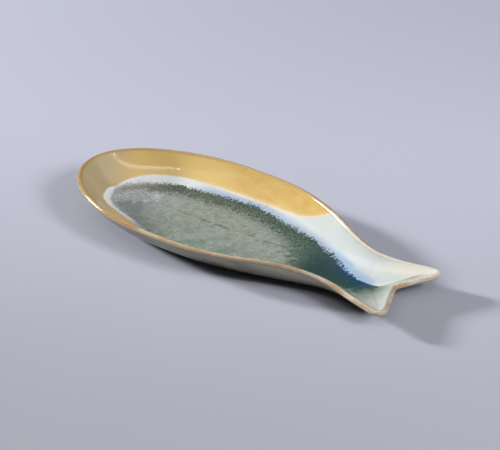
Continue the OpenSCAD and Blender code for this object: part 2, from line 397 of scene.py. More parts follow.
@dataclass
class Skin:
    """A closed solid between two sheets of the same grid, or inside one closed grid.

    outer and inner are points, normals the outer sheet's, cells four point numbers each, seen
    anticlockwise from outside. marks are values per point for the finish to read.
    """
    outer: Array
    normals: Array
    cells: Array
    inner: Array | None = None
    marks: dict[str, Array] = field(default_factory=dict)

    def build(self, name: str, finish: Material, slot: str, node: str, middle_x: float) -> Piece:
        """Puts the solid into a mesh with its own corner normals, and hides the imported part that it stands
        for.

        The rim of the outer sheet is joined to the inner sheet by a strip along every edge that
        only one cell uses.

        Args:
            name: the piece's name.
            finish: its material.
            slot: not used.
            node: the solid that the piece stands for.
            middle_x: how far behind the nose the origin lies.

        Returns:
            The object, at the origin, with its place in its mesh.
        """
        used, faces = np.unique(self.cells, return_inverse=True)
        faces = faces.reshape(self.cells.shape)
        points, count = self.outer.reshape(-1, 3)[used], len(used)
        corners = self.normals.reshape(-1, 3)[used][faces]
        if self.inner is not None:
            edges = np.stack([faces, np.roll(faces, -1, axis=1)], -1).reshape(-1, 2)
            a, b = edges[~np.isin(edges @ [count, 1], edges @ [1, count])].T
            sides = np.stack([b, a, a + count, b + count], -1)
            points = np.concatenate([points, self.inner.reshape(-1, 3)[used]])
            at = points[sides]
            flat = unit(np.cross(at[:, 2] - at[:, 0], at[:, 3] - at[:, 1]))
            corners = np.concatenate([corners, -corners[:, ::-1], np.repeat(flat[:, None], 4, axis=1)])
            faces = np.concatenate([faces, faces[:, ::-1] + count, sides])
        mesh = bpy.data.meshes.new(name)
        mesh.from_pydata(((points - [middle_x, 0, 0]) * MM).tolist(), [], faces.tolist())
        mesh.normals_split_custom_set(corners.reshape(-1, 3).tolist())
        for label, values in self.marks.items():
            values = np.concatenate([values[used]] * (len(points) // count)).astype(np.float32)
            kind, part = ("FLOAT_VECTOR", "vector") if values.ndim == 2 else ("FLOAT", "value")
            mesh.attributes.new(label, kind, "POINT").data.foreach_set(part, values.ravel())
        mesh.materials.append(finish)
        piece = bpy.data.objects.new(name, mesh)
        bpy.context.collection.objects.link(piece)
        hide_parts(node)
        return piece


@dataclass(frozen=True)
class CoatEdges:
    """Where one coat of glaze ends and the next begins, as (place round the rim, drop) points.

    A point with no coat to part there only carries the grid on.
    """
    ochre_near: float = 92.4
    ochre_far: float = 25.8
    halo_near: float = 91.6
    pool_far: float = 31.9
    ochre: Edge = (
        (-15.6, 0.02), (-15.0, 0.2), (-14.0, 0.55), (-13.0, 0.84), (-12.0, 0.97), (-11.0, 0.98),
        (-9.7, 0.93), (-8.3, 0.86), (-7.2, 0.73), (-6.0, 0.66), (-3.7, 0.68), (-1.5, 0.74),
        (0.8, 0.8), (2.6, 0.74), (4.3, 0.66), (6.7, 0.58), (8.8, 0.56), (10.8, 0.56), (13.2, 0.59),
        (15.8, 0.62), (18.1, 0.59), (20.6, 0.57), (22.3, 0.5), (23.7, 0.35), (24.9, 0.15),
        (25.6, 0.03), (25.8, 0.02),
        (28.0, 0.3), (54.0, 0.3), (80.0, 0.3), (90.0, 0.3), (92.4, 0.02))
    pool: Edge = (
        (-16.4, 0.05), (-15.6, 0.4), (-14.6, 0.8), (-13.4, 1.02), (-12.2, 1.08), (-11.2, 1.08),
        (-9.9, 1.06), (-8.5, 1.02), (-7.2, 0.93), (-5.4, 0.9), (-2.9, 0.9), (0.2, 0.83), (2.5, 0.81),
        (4.1, 0.83), (6.7, 0.8), (9.1, 0.79), (11.1, 0.87), (13.8, 0.94), (16.3, 0.87), (18.7, 0.82),
        (21.6, 0.89), (23.6, 0.86), (25.3, 0.78), (26.9, 0.67), (28.8, 0.67), (29.9, 0.78),
        (31.0, 1.3), (31.9, 1.98), (33.5, 0.8), (54.0, 0.8),
        (80.0, 0.6), (90.0, 0.6), (91.6, 0.05))

    def at(self, place: Array, points: Edge, whole: float) -> Array:
        """The edge's drop at any place, joined up where the rim comes round to the nose."""
        turned = np.mod(place - points[0][0], whole) + points[0][0]
        closed = list(points) + [(points[0][0] + whole, points[0][1])]
        return through(turned, [p for k, p in enumerate(closed) if k == 0 or p[0] > closed[k - 1][0]])


class Coat(Enum):
    """The coats on the inside, by the name of the node and material slot that each stands for."""
    OCHRE = "ochre_glaze"
    WHITE = "white_glaze"
    GREEN = "green_glaze"


@dataclass
class GlazeMap:
    """Where each coat lies, as marks that the glazes read.

    ochre_in and pool_in are the distances in millimetres from the edges of the ochre and of the
    pool, above zero inside. rim_in is the distance inwards from the crown of the lip. run is a
    point, in metres, that goes round with the place and in with rim_in, for streaks down the wall.
    """
    form: PlatterForm
    edges: CoatEdges
    line_points: int = 900
    block: int = 4000
    run_radius: float = 150.0

    def line(self, near: float, far: float, edge: Edge) -> Array:
        """A fine line of points along an edge, from its near end round the nose to its far end."""
        whole = self.form.places
        place = np.linspace(near - whole, far, self.line_points)
        return self.form.middle(place, self.edges.at(place, edge, whole)).astype(np.float32)

    def nearest(self, points: Array, line: Array) -> Array:
        """Distance from each point to a line of points, in blocks to save memory."""
        flat = points.reshape(-1, 3).astype(np.float32)
        square = (line * line).sum(-1)
        found = [np.sqrt(np.maximum(((b * b).sum(-1)[:, None] - 2 * b @ line.T + square).min(1), 0))
                 for b in np.array_split(flat, max(1, len(flat) // self.block))]
        return np.concatenate(found).reshape(points.shape[:-1])

    def coats(self, place: Array, drop: Array) -> tuple[Array, Array]:
        """Whether each point lies in the ochre, and whether it lies in the white."""
        e, whole = self.edges, self.form.places
        place = np.mod(place, whole)
        ochre_here = (place <= e.ochre_far) | (place >= e.ochre_near)
        ochre = ochre_here & (drop < e.at(place, e.ochre, whole))
        pool_here = (place <= e.pool_far) | (place >= e.halo_near)
        past = place <= self.form.notch_place
        white = ~ochre & ((pool_here & (drop < e.at(place, e.pool, whole))) | (~pool_here & past))
        return ochre, white

    def marks(self, place: Array, drop: Array, points: Array, rim_in: Array) -> dict[str, Array]:
        """All marks at points of the surface, given their places, drops and distances from the crown."""
        e = self.edges
        ochre, white = self.coats(place, drop)
        ochre_in = self.nearest(points, self.line(e.ochre_near, e.ochre_far, e.ochre))
        pool_in = self.nearest(points, self.line(e.halo_near, e.pool_far, e.pool))
        around = 2 * math.pi * place / self.form.places
        run = np.stack([self.run_radius * np.cos(around), self.run_radius * np.sin(around), rim_in], -1)
        return {"ochre_in": (ochre_in * np.where(ochre, 1, -1)).ravel(),
                "pool_in": (pool_in * np.where(ochre | white, -1, 1)).ravel(),
                "rim_in": rim_in.ravel(), "run": run.reshape(-1, 3) * MM}


def srgb(colour: Colour) -> tuple[float, float, float, float]:
    """A colour given as it shows on a screen, from 0 to 255, as the linear light that a shader mixes."""
    share = [c / 255 for c in colour]
    return (*[c / 12.92 if c <= 0.04045 else ((c + 0.055) / 1.055) ** 2.4 for c in share], 1.0)


class Graph:
    """A material's node graph, written as expressions that return sockets."""

    def __init__(self, name: str, **settings: float) -> None:
        """Starts a material with its shader, whose even values are set on the shader itself.

        Args:
            name: the material's name.
            settings: the even values, by the names of the shader's inputs.
        """
        self.material = bpy.data.materials.new(name)
        self.material.use_nodes = True
        self.tree = self.material.node_tree
        self.shader = self.tree.nodes["Principled BSDF"]
        for label, value in settings.items():
            self.shader.inputs[label.replace("_", " ")].default_value = value
        self.place = self.tree.nodes.new("ShaderNodeTexCoord").outputs["Object"]

    def put(self, kind: str, choices: dict[str, str], **inputs: object) -> bpy.types.Node:
        """Adds a node, makes its choices and fills its inputs.

        Args:
            kind: the node's type.
            choices: the node's own settings, by name.
            inputs: values, colours or sockets, by number as _0 or by name.

        Returns:
            The node.
        """
        node = self.tree.nodes.new(kind)
        for label, choice in choices.items():
            setattr(node, label, choice)
        for label, value in inputs.items():
            place = node.inputs[int(label[1:]) if label[0] == "_" else label.replace("_", " ")]
            if isinstance(value, Socket):
                self.tree.links.new(value, place)
            else:
                place.default_value = value
        return node

    def math(self, operation: str, a: object, b: object = 0.0) -> Socket:
        """One step of arithmetic on two values."""
        return self.put("ShaderNodeMath", {"operation": operation}, _0=a, _1=b).outputs[0]

    def add(self, *values: object) -> Socket:
        """The sum of some values."""
        return reduce(lambda a, b: self.math("ADD", a, b), values)

    def times(self, *values: object) -> Socket:
        """The product of some values."""
        return reduce(lambda a, b: self.math("MULTIPLY", a, b), values)

    def sway(self, value: object, *noises: tuple[Socket, float]) -> Socket:
        """A value pushed to and fro by noises, each with the most that it adds or takes away."""
        waves = [self.times(self.math("SUBTRACT", noise, 0.5), 2 * most) for noise, most in noises]
        return self.add(value, self.add(*waves))

    def fade(self, value: object, low: float, high: float) -> Socket:
        """0 below low and 1 above high, with a soft step between them. It falls where low is the higher."""
        return self.put("ShaderNodeMapRange", {"interpolation_type": "SMOOTHSTEP"}, Value=value,
                        From_Min=low, From_Max=high).outputs[0]

    def lay(self, under: object, over: object, share: Socket, most: float = 1.0) -> Socket:
        """One colour laid over another, by a share times the most that it covers."""
        under, over = (srgb(c) if isinstance(c, tuple) else c for c in (under, over))
        share = share if most == 1.0 else self.times(share, most)
        return self.put("ShaderNodeMix", {"data_type": "RGBA"}, _0=share, _6=under, _7=over).outputs[2]

    def layers(self, base: object, *layers: tuple) -> Socket:
        """A base colour under layers in turn, each with what lay takes: a colour, its share, its most."""
        return reduce(lambda under, layer: self.lay(under, *layer), layers, base)

    def mark(self, label: str, output: str = "Fac") -> Socket:
        """A value or point that the mesh holds."""
        return self.put("ShaderNodeAttribute", {"attribute_name": label}).outputs[output]

    def axis(self, name: str) -> Socket:
        """The place along one axis of the object, in millimetres."""
        return self.times(self.put("ShaderNodeSeparateXYZ", {}, Vector=self.place).outputs[name], 1 / MM)

    def aslant(self, x: float, y: float) -> Socket:
        """The place along a slanting line: x times the first axis and y times the second."""
        return self.add(self.times(self.axis("X"), x), self.times(self.axis("Y"), y))

    def stretch(self, where: Socket, sizes: tuple[float, ...]) -> Socket:
        """A point scaled so that one grain of noise measures sizes, in millimetres."""
        scale = tuple(1 / (MM * size) for size in sizes)
        return self.put("ShaderNodeMapping", {}, Vector=where, Scale=scale).outputs[0]

    def grain(self, size: float | tuple[float, ...], detail: float, rough: float,
              where: Socket | None = None) -> Socket:
        """Soft noise from 0 to 1.

        Args:
            size: how wide its blotches are, in millimetres, each way or along the three axes.
            detail: how many finer noises lie on it.
            rough: how strong the finer ones are.
            where: the point that it follows, where that isn't the place on the object.

        Returns:
            The noise.
        """
        sizes = size if isinstance(size, tuple) else (size,) * 3
        point = self.stretch(where or self.place, sizes)
        return self.put("ShaderNodeTexNoise", {}, Vector=point, Scale=1.0, Detail=detail,
                        Roughness=rough).outputs[0]

    def dots(self, size: float, reach: float) -> Socket:
        """1 at the middles of scattered dots and 0 past a reach, in shares of their spacing."""
        point = self.stretch(self.place, (size,) * 3)
        cells = self.put("ShaderNodeTexVoronoi", {}, Vector=point, Scale=1.0)
        return self.fade(cells.outputs["Distance"], reach, 0.0)

    def finish(self, colour: Socket, height: Socket | None = None, bump_mm: float = 0.1,
               rough: Socket | None = None) -> Material:
        """Joins the colour, surface height and roughness to the shader.

        Args:
            colour: the base colour.
            height: the height of the fine relief, from 0 to 1.
            bump_mm: how high a height of 1 stands.
            rough: the roughness, where it isn't even.

        Returns:
            The finished material.
        """
        self.tree.links.new(colour, self.shader.inputs["Base Color"])
        if height is not None:
            bump = self.put("ShaderNodeBump", {}, Strength=1.0, Distance=bump_mm * MM, Height=height)
            self.tree.links.new(bump.outputs[0], self.shader.inputs["Normal"])
        if rough is not None:
            self.tree.links.new(rough, self.shader.inputs["Roughness"])
        return self.material


class InsideGraph(Graph):
    """The graph of the glazes inside, with the marks and noises that they share."""

    def __init__(self, name: str, **settings: float) -> None:
        """Reads the marks and lays the noises, from broad drifts to fine grains."""
        super().__init__(name, **settings)
        self.x, self.y = self.axis("X"), self.axis("Y")
        self.pool_in, self.ochre_in = self.mark("pool_in"), self.mark("ochre_in")
        self.run = self.mark("run", "Vector")
        self.broad = self.grain(26.0, 3.0, 0.6)
        self.blotch = self.grain(7.0, 4.0, 0.65)
        self.fine = self.grain(2.0, 3.0, 0.75)
        self.far_side = self.fade(self.y, -12.0, 18.0)


@dataclass(frozen=True)
class ReactiveGlaze:
    """The inside's running glazes: ochre, a white halo and the green pool, feathered into each other.

    The spans say where along the platter, in millimetres from its middle, a shade comes in. slant
    is a direction on the table, as its cosine and sine. The frost's oval lies along it.
    """
    ochre: Colour = (212, 178, 108)
    ochre_deep: Colour = (206, 168, 94)
    ochre_pale: Colour = (226, 202, 148)
    ochre_head_painted_light: Colour = (240, 206, 132)
    ochre_nose_painted_shade: Colour = (180, 165, 136)
    white: Colour = (208, 213, 212)
    white_blue: Colour = (164, 178, 196)
    white_head_painted_light: Colour = (250, 252, 254)
    white_warm: Colour = (224, 215, 202)
    white_mint: Colour = (202, 213, 204)
    ice: Colour = (164, 192, 222)
    pool: Colour = (154, 160, 151)
    pool_pale: Colour = (182, 188, 184)
    pool_olive: Colour = (130, 139, 122)
    pool_teal: Colour = (104, 126, 114)
    band: Colour = (92, 112, 96)
    band_dark: Colour = (46, 68, 66)
    deep: Colour = (38, 66, 66)
    navy: Colour = (32, 66, 92)
    spark_and_glint: Colour = (232, 238, 244)
    mist_and_painted_light: Colour = (202, 209, 219)
    lobe_pale: Colour = (184, 188, 182)
    lobe_green: Colour = (118, 134, 116)
    lobe_back_and_painted_shade: Colour = (148, 150, 140)
    streak: Colour = (92, 98, 80)
    lip: Colour = (190, 160, 112)
    head_painted_light_span: Span = (-84.0, -122.0)
    head_mist_span: Span = (-118.0, -150.0)
    ochre_painted_light_span: Span = (-50.0, -125.0)
    ochre_painted_shade_span: Span = (-104.0, -146.0)
    band_span: Span = (-160.0, -118.0)
    fuzz_span: Span = (-156.0, -128.0)
    neck_dark_span: Span = (38.0, 74.0)
    neck_deep_span: Span = (58.0, 94.0)
    neck_navy_span: Span = (84.0, 116.0)
    neck_ice_span: Span = (78.0, 112.0)
    far_lobe_span: Span = (128.0, 168.0)
    near_lobe_span: Span = (156.0, 174.0)
    near_tip_span: Span = (160.0, 192.0)
    slant: Span = (0.77, 0.63)
    frost_middle: Span = (-107.0, 88.0)
    frost_reach: Span = (25.0, 15.0)

    def make(self, name: str) -> Material:
        """Builds the material: the pool, the white, the ochre, then the thin brown edge by the lip."""
        g = InsideGraph(name, Roughness=0.15, IOR=1.5)
        streak, dust = g.grain((2.0, 2.0, 9.0), 3.0, 0.7, g.run), g.grain(1.8, 2.0, 0.8)
        furry = g.add(0.35, g.times(g.far_side, 0.65))
        feather = g.times(furry, g.sway(0.0, (streak, 8.0), (dust, 11.0)))
        shore = g.sway(g.add(g.pool_in, feather), (g.broad, 3.0))
        shore = g.add(shore, g.times(g.fade(g.x, -70.0, -110.0), -1.2))
        bank = g.sway(g.ochre_in, (g.broad, 2.4), (streak, 0.9))
        thin = g.sway(g.mark("rim_in"), (g.blotch, 1.6), (g.fine, 0.8))
        colour = g.layers(
            self.floor(g),
            (self.halo(g), g.fade(shore, 0.3, -0.4)),
            (self.honey(g), g.fade(bank, -1.4, 1.2)),
            (self.lip, g.fade(thin, 5.2, 3.9), 0.5))
        rough = g.add(0.11, g.times(g.fade(g.pool_in, 0.0, 4.0), g.fine, 0.24))
        relief = g.add(g.times(g.fine, 0.35), g.grain(5.0, 2.0, 0.5))
        return g.finish(colour, relief, 0.09, rough)

    def floor(self, g: InsideGraph) -> Socket:
        """The pool: grey green with specks, a dark band under the halo, teal and navy by the neck, lightened
        towards the head as painted light.
        """
        x, y, pool_in, blotch, fine = g.x, g.y, g.pool_in, g.blotch, g.fine
        near = g.times(g.fade(y, -2.0, -40.0), g.fade(x, -110.0, -60.0),
                       g.fade(g.grain(11.0, 3.0, 0.6), 0.35, 0.65))
        spread = g.fade(g.sway(pool_in, (blotch, 12.0), (fine, 18.0)), 28.0, 12.0)
        dark = g.times(spread, g.far_side, g.fade(x, *self.band_span))
        toward_neck = g.sway(g.add(x, g.times(y, 0.9)), (blotch, 30.0), (fine, 24.0))
        dark = g.math("MAXIMUM", dark, g.fade(toward_neck, *self.neck_dark_span))
        shade = g.lay(self.band_dark, self.band, g.fade(fine, 0.45, 0.54))
        deep = g.fade(g.sway(x, (blotch, 14.0), (fine, 14.0)), *self.neck_deep_span)
        inky = g.times(g.fade(g.sway(x, (blotch, 10.0)), *self.neck_navy_span),
                       g.fade(g.sway(pool_in, (fine, 8.0)), 15.0, 4.0))
        fuzz = g.times(g.fade(g.sway(pool_in, (g.grain(1.8, 2.0, 0.9), 32.0)), 8.5, 3.5),
                       g.far_side, g.fade(x, *self.fuzz_span))
        misty = g.times(g.fade(g.sway(pool_in, (blotch, 6.0)), 11.0, 0.0), g.fade(x, *self.head_mist_span))
        specks = g.times(g.dots(4.0, 0.34), g.fade(g.grain(15.0, 2.0, 0.5), 0.38, 0.6))
        patch = self.frost(g)
        sparks_and_glints = g.math("MAXIMUM", g.dots(2.3, 0.5), g.fade(g.grain(2.0, 2.0, 0.95), 0.5, 0.56))
        toward_lobe = g.sway(g.add(x, g.times(y, -0.54)), (blotch, 12.0), (fine, 6.0))
        toward_tip = g.sway(g.add(x, g.times(y, -0.25)), (blotch, 8.0))
        lobe = g.lay(self.lobe_green, self.lobe_pale, g.fade(toward_tip, *self.near_tip_span))
        return g.layers(
            self.pool,
            (self.pool_olive, g.fade(blotch, 0.38, 0.7)),
            # Painted light: the pool is lightened towards the head.
            (self.mist_and_painted_light, g.fade(x, *self.head_painted_light_span), 0.3),
            (self.pool_teal, near, 0.8),
            (self.pool_pale, g.fade(fine, 0.52, 0.7), 0.7),
            (self.pool_olive, g.fade(g.grain(2.2, 3.0, 0.7), 0.52, 0.68), 0.22),
            (shade, dark, 0.94),
            (self.deep, deep, 0.95),
            (self.navy, inky),
            (self.band_dark, fuzz, 0.75),
            (self.mist_and_painted_light, misty, 0.9),
            (self.band, specks, 0.7),
            (self.mist_and_painted_light, patch, 0.45),
            # Bright crystal specks in the frost, partly painted glints.
            (self.spark_and_glint, g.times(patch, sparks_and_glints)),
            (self.streak, self.spine(g)),
            (lobe, g.fade(toward_lobe, *self.near_lobe_span)))

    def frost(self, g: InsideGraph) -> Socket:
        """Where pale crystals lie on the head's floor: an oval of given size with a ragged edge."""
        (cos, sin), (middle_x, middle_y), (long, wide) = self.slant, self.frost_middle, self.frost_reach
        dx = g.times(g.add(g.aslant(cos, sin), -middle_x), 1 / long)
        dy = g.times(g.add(g.aslant(-sin, cos), -middle_y), 1 / wide)
        away = g.math("SQRT", g.add(g.times(dx, dx), g.times(dy, dy)))
        return g.fade(g.sway(away, (g.grain(9.0, 3.0, 0.7), 1.0)), 1.15, 0.6)

    def spine(self, g: InsideGraph) -> Socket:
        """A thin broken line of darker glaze down the middle, a little towards the far side by the neck."""
        drift = g.sway(g.times(g.add(g.x, 90.0), 0.07), (g.grain(30.0, 2.0, 0.5), 1.6))
        off = g.math("ABSOLUTE", g.math("SUBTRACT", g.y, drift))
        line = g.fade(g.sway(off, (g.grain(3.0, 2.0, 0.6), 1.2)), 2.0, 0.3)
        broken = g.fade(g.grain(13.0, 2.0, 0.6), 0.42, 0.58)
        return g.times(line, broken, g.fade(g.x, -96.0, -70.0), g.fade(g.x, 60.0, 30.0), 0.75)

    def halo(self, g: InsideGraph) -> Socket:
        """The white: bluish beside the pool, warm by the ochre and the tail's leading edge, lightened at the
        head as painted light, and greyer behind the far lobe's crease, partly painted shade.
        """
        x, y, broad, fine = g.x, g.y, g.broad, g.fine
        icy = g.times(g.fade(g.sway(g.pool_in, (fine, 12.0), (broad, 6.0)), -17.0, -1.0),
                      g.fade(x, *self.neck_ice_span))
        edge = g.times(g.fade(x, *self.far_lobe_span), g.fade(g.sway(y, (broad, 8.0)), 18.0, 34.0))
        crease = g.math("SUBTRACT", x, g.math("MINIMUM", y, g.times(y, 0.5)))
        behind = g.times(g.fade(crease, 162.8, 165.2), g.fade(g.sway(y, (fine, 4.0)), 42.0, 26.0))
        return g.layers(
            self.white,
            (self.white_mint, g.fade(broad, 0.4, 0.62)),
            (self.white_blue, g.fade(g.sway(g.pool_in, (fine, 3.0)), -13.0, -2.0)),
            # Painted light: the white is lightened towards the head.
            (self.white_head_painted_light, g.fade(g.sway(x, (fine, 8.0)), *self.head_painted_light_span)),
            (self.ice, icy, 0.9),
            (self.white_warm, edge, 0.7),
            # Greyer glaze behind the far lobe's crease, partly painted shade.
            (self.lobe_back_and_painted_shade, behind, 0.6),
            (self.lobe_back_and_painted_shade, g.times(behind, g.fade(crease, 176.0, 164.0)), 0.7),
            (self.white_warm, g.times(g.fade(g.ochre_in, -4.0, 0.0), g.fade(x, -112.0, -76.0))))

    def honey(self, g: InsideGraph) -> Socket:
        """The ochre: deeper in drifts, paler where it thins at its lower edge, lightened on the head as
        painted light and dulled at the nose as painted shade.
        """
        sheets = g.grain((22.0, 22.0, 5.0), 3.0, 0.55, g.run)
        toward_nose_painted_shade = g.sway(g.aslant(*self.slant), (g.broad, 8.0))
        return g.layers(
            self.ochre,
            (self.ochre_deep, g.fade(g.broad, 0.38, 0.68)),
            (self.ochre_pale, g.fade(sheets, 0.48, 0.66), 0.25),
            (self.ochre_pale, g.fade(g.sway(g.ochre_in, (g.blotch, 2.0)), 5.0, 0.0), 0.5),
            # Painted light: the ochre is lightened on the head.
            (self.ochre_head_painted_light, g.fade(g.sway(g.x, (g.broad, 10.0)), *self.ochre_painted_light_span), 0.85),
            # Painted shade: the ochre is dulled towards the nose.
            (self.ochre_nose_painted_shade, g.fade(toward_nose_painted_shade, *self.ochre_painted_shade_span), 0.85))


@dataclass(frozen=True)
class LipGlaze:
    """The lip: brown where the glaze thins over the crown, honey beside the ochre, cream outside, milk on
    the tail that is partly painted glints.
    """
    brown: Colour = (150, 112, 78)
    rust: Colour = (188, 150, 124)
    honey: Colour = (190, 158, 104)
    tan: Colour = (196, 174, 142)
    gold: Colour = (182, 160, 116)
    milk_and_glint: Colour = (218, 212, 202)
    grey: Colour = (156, 160, 146)
    green: Colour = (84, 98, 88)
    cream: Colour = (158, 150, 126)
    tail_span: Span = (60.0, 150.0)
    far_lobe_span: Span = (160.0, 170.0)

    def make(self, name: str) -> Material:
        """Builds the material from the distance to the crown and the coat that lies beside it."""
        g = Graph(name, Roughness=0.16, IOR=1.5)
        x, y = g.axis("X"), g.axis("Y")
        drift, patch = g.grain(30.0, 3.0, 0.6), g.grain(22.0, 3.0, 0.65)
        blotch, fine = g.grain(6.0, 3.0, 0.6), g.grain(1.2, 2.0, 0.6)
        tail = g.fade(g.sway(x, (drift, 40.0)), *self.tail_span)
        # Milk patches along the tail's lip, partly painted glints.
        pale_and_painted_light = g.times(tail, g.fade(g.grain(24.0, 3.0, 0.6), 0.46, 0.56), 0.5)
        beyond = g.fade(g.math("SUBTRACT", x, g.times(y, 0.5)), *self.far_lobe_span)
        # Milk on the far lobe's trailing edge, partly a painted highlight.
        behind = g.times(beyond, g.fade(y, 8.0, 16.0), 0.85)
        edge = g.sway(g.mark("rim_in"), (blotch, 2.2), (fine, 0.8))
        neck = g.times(g.fade(x, 0.0, 60.0), g.fade(x, 130.0, 105.0))
        pool = g.fade(g.mark("pool_in"), -3.0, 3.0)
        beside = g.lay(self.milk_and_glint, g.lay(self.grey, self.green, neck), pool, 0.9)
        ochre = g.fade(g.sway(g.mark("ochre_in"), (drift, 6.0)), -8.0, 6.0)
        line = g.fade(g.math("ABSOLUTE", g.add(edge, 0.3)), 1.7, 0.2)
        strong = g.math("MAXIMUM", g.sway(g.add(0.3, g.times(ochre, 0.4)), (patch, 0.7)), 0.05)
        colour = g.layers(
            self.tan,
            (self.gold, g.fade(patch, 0.46, 0.54)),
            (self.rust, g.fade(drift, 0.52, 0.62), 0.6),
            (self.milk_and_glint, g.math("MAXIMUM", pale_and_painted_light, behind)),
            (beside, g.fade(edge, 1.0, 2.8)),
            (self.honey, ochre),
            (self.cream, g.fade(edge, -0.9, -3.0)),
            (self.brown, g.times(line, strong)))
        return g.finish(colour, g.add(g.times(fine, 0.3), blotch), 0.06)


@dataclass(frozen=True)
class OutsideGlaze:
    """The coat under the wall: cream with an olive grey cast and a few iron specks."""
    cream: Colour = (134, 127, 102)
    olive: Colour = (104, 100, 78)
    speck: Colour = (104, 84, 60)
    pale_and_painted_light: Colour = (222, 214, 192)

    def make(self, name: str) -> Material:
        """Builds the material: drifts of two shades, painted light under the lip by the neck, and fine
        specks.
        """
        g = Graph(name, Roughness=0.3, Coat_Weight=0.5, Coat_Roughness=0.1, IOR=1.5)
        x, rim_in = g.axis("X"), g.mark("rim_in")
        broad, fine = g.grain(24.0, 3.0, 0.6), g.grain(1.2, 2.0, 0.6)
        upper = g.fade(g.sway(rim_in, (broad, 3.0), (fine, 1.0)), -12.0, -5.0)
        neck = g.times(g.fade(x, 40.0, 85.0), g.fade(x, 150.0, 115.0), upper)
        colour = g.layers(
            self.cream,
            (self.olive, g.fade(broad, 0.36, 0.66)),
            (self.olive, g.fade(g.sway(rim_in, (broad, 3.0)), -10.0, -26.0), 0.6),
            # Painted light: the upper wall by the neck is lightened as if lit.
            (self.pale_and_painted_light, neck, 0.6),
            (self.speck, g.dots(4.5, 0.16), 0.6))
        return g.finish(colour, g.add(g.times(fine, 0.3), broad), 0.08)


@dataclass(frozen=True)
class BareClay:
    """Unglazed stoneware: buff with sandy grains and darker grog."""
    buff: Colour = (186, 158, 126)
    warm: Colour = (168, 132, 96)
    grog: Colour = (112, 88, 66)

    def make(self, name: str) -> Material:
        """Builds the material: matt, with a sandy relief."""
        g = Graph(name, Roughness=0.85, IOR=1.45)
        sand = g.grain(0.8, 3.0, 0.7)
        colour = g.layers(
            self.buff,
            (self.warm, g.fade(g.grain(20.0, 3.0, 0.6), 0.35, 0.65)),
            (self.warm, g.fade(sand, 0.45, 0.7), 0.4),
            (self.grog, g.dots(3.2, 0.22), 0.6))
        return g.finish(colour, sand, 0.12)


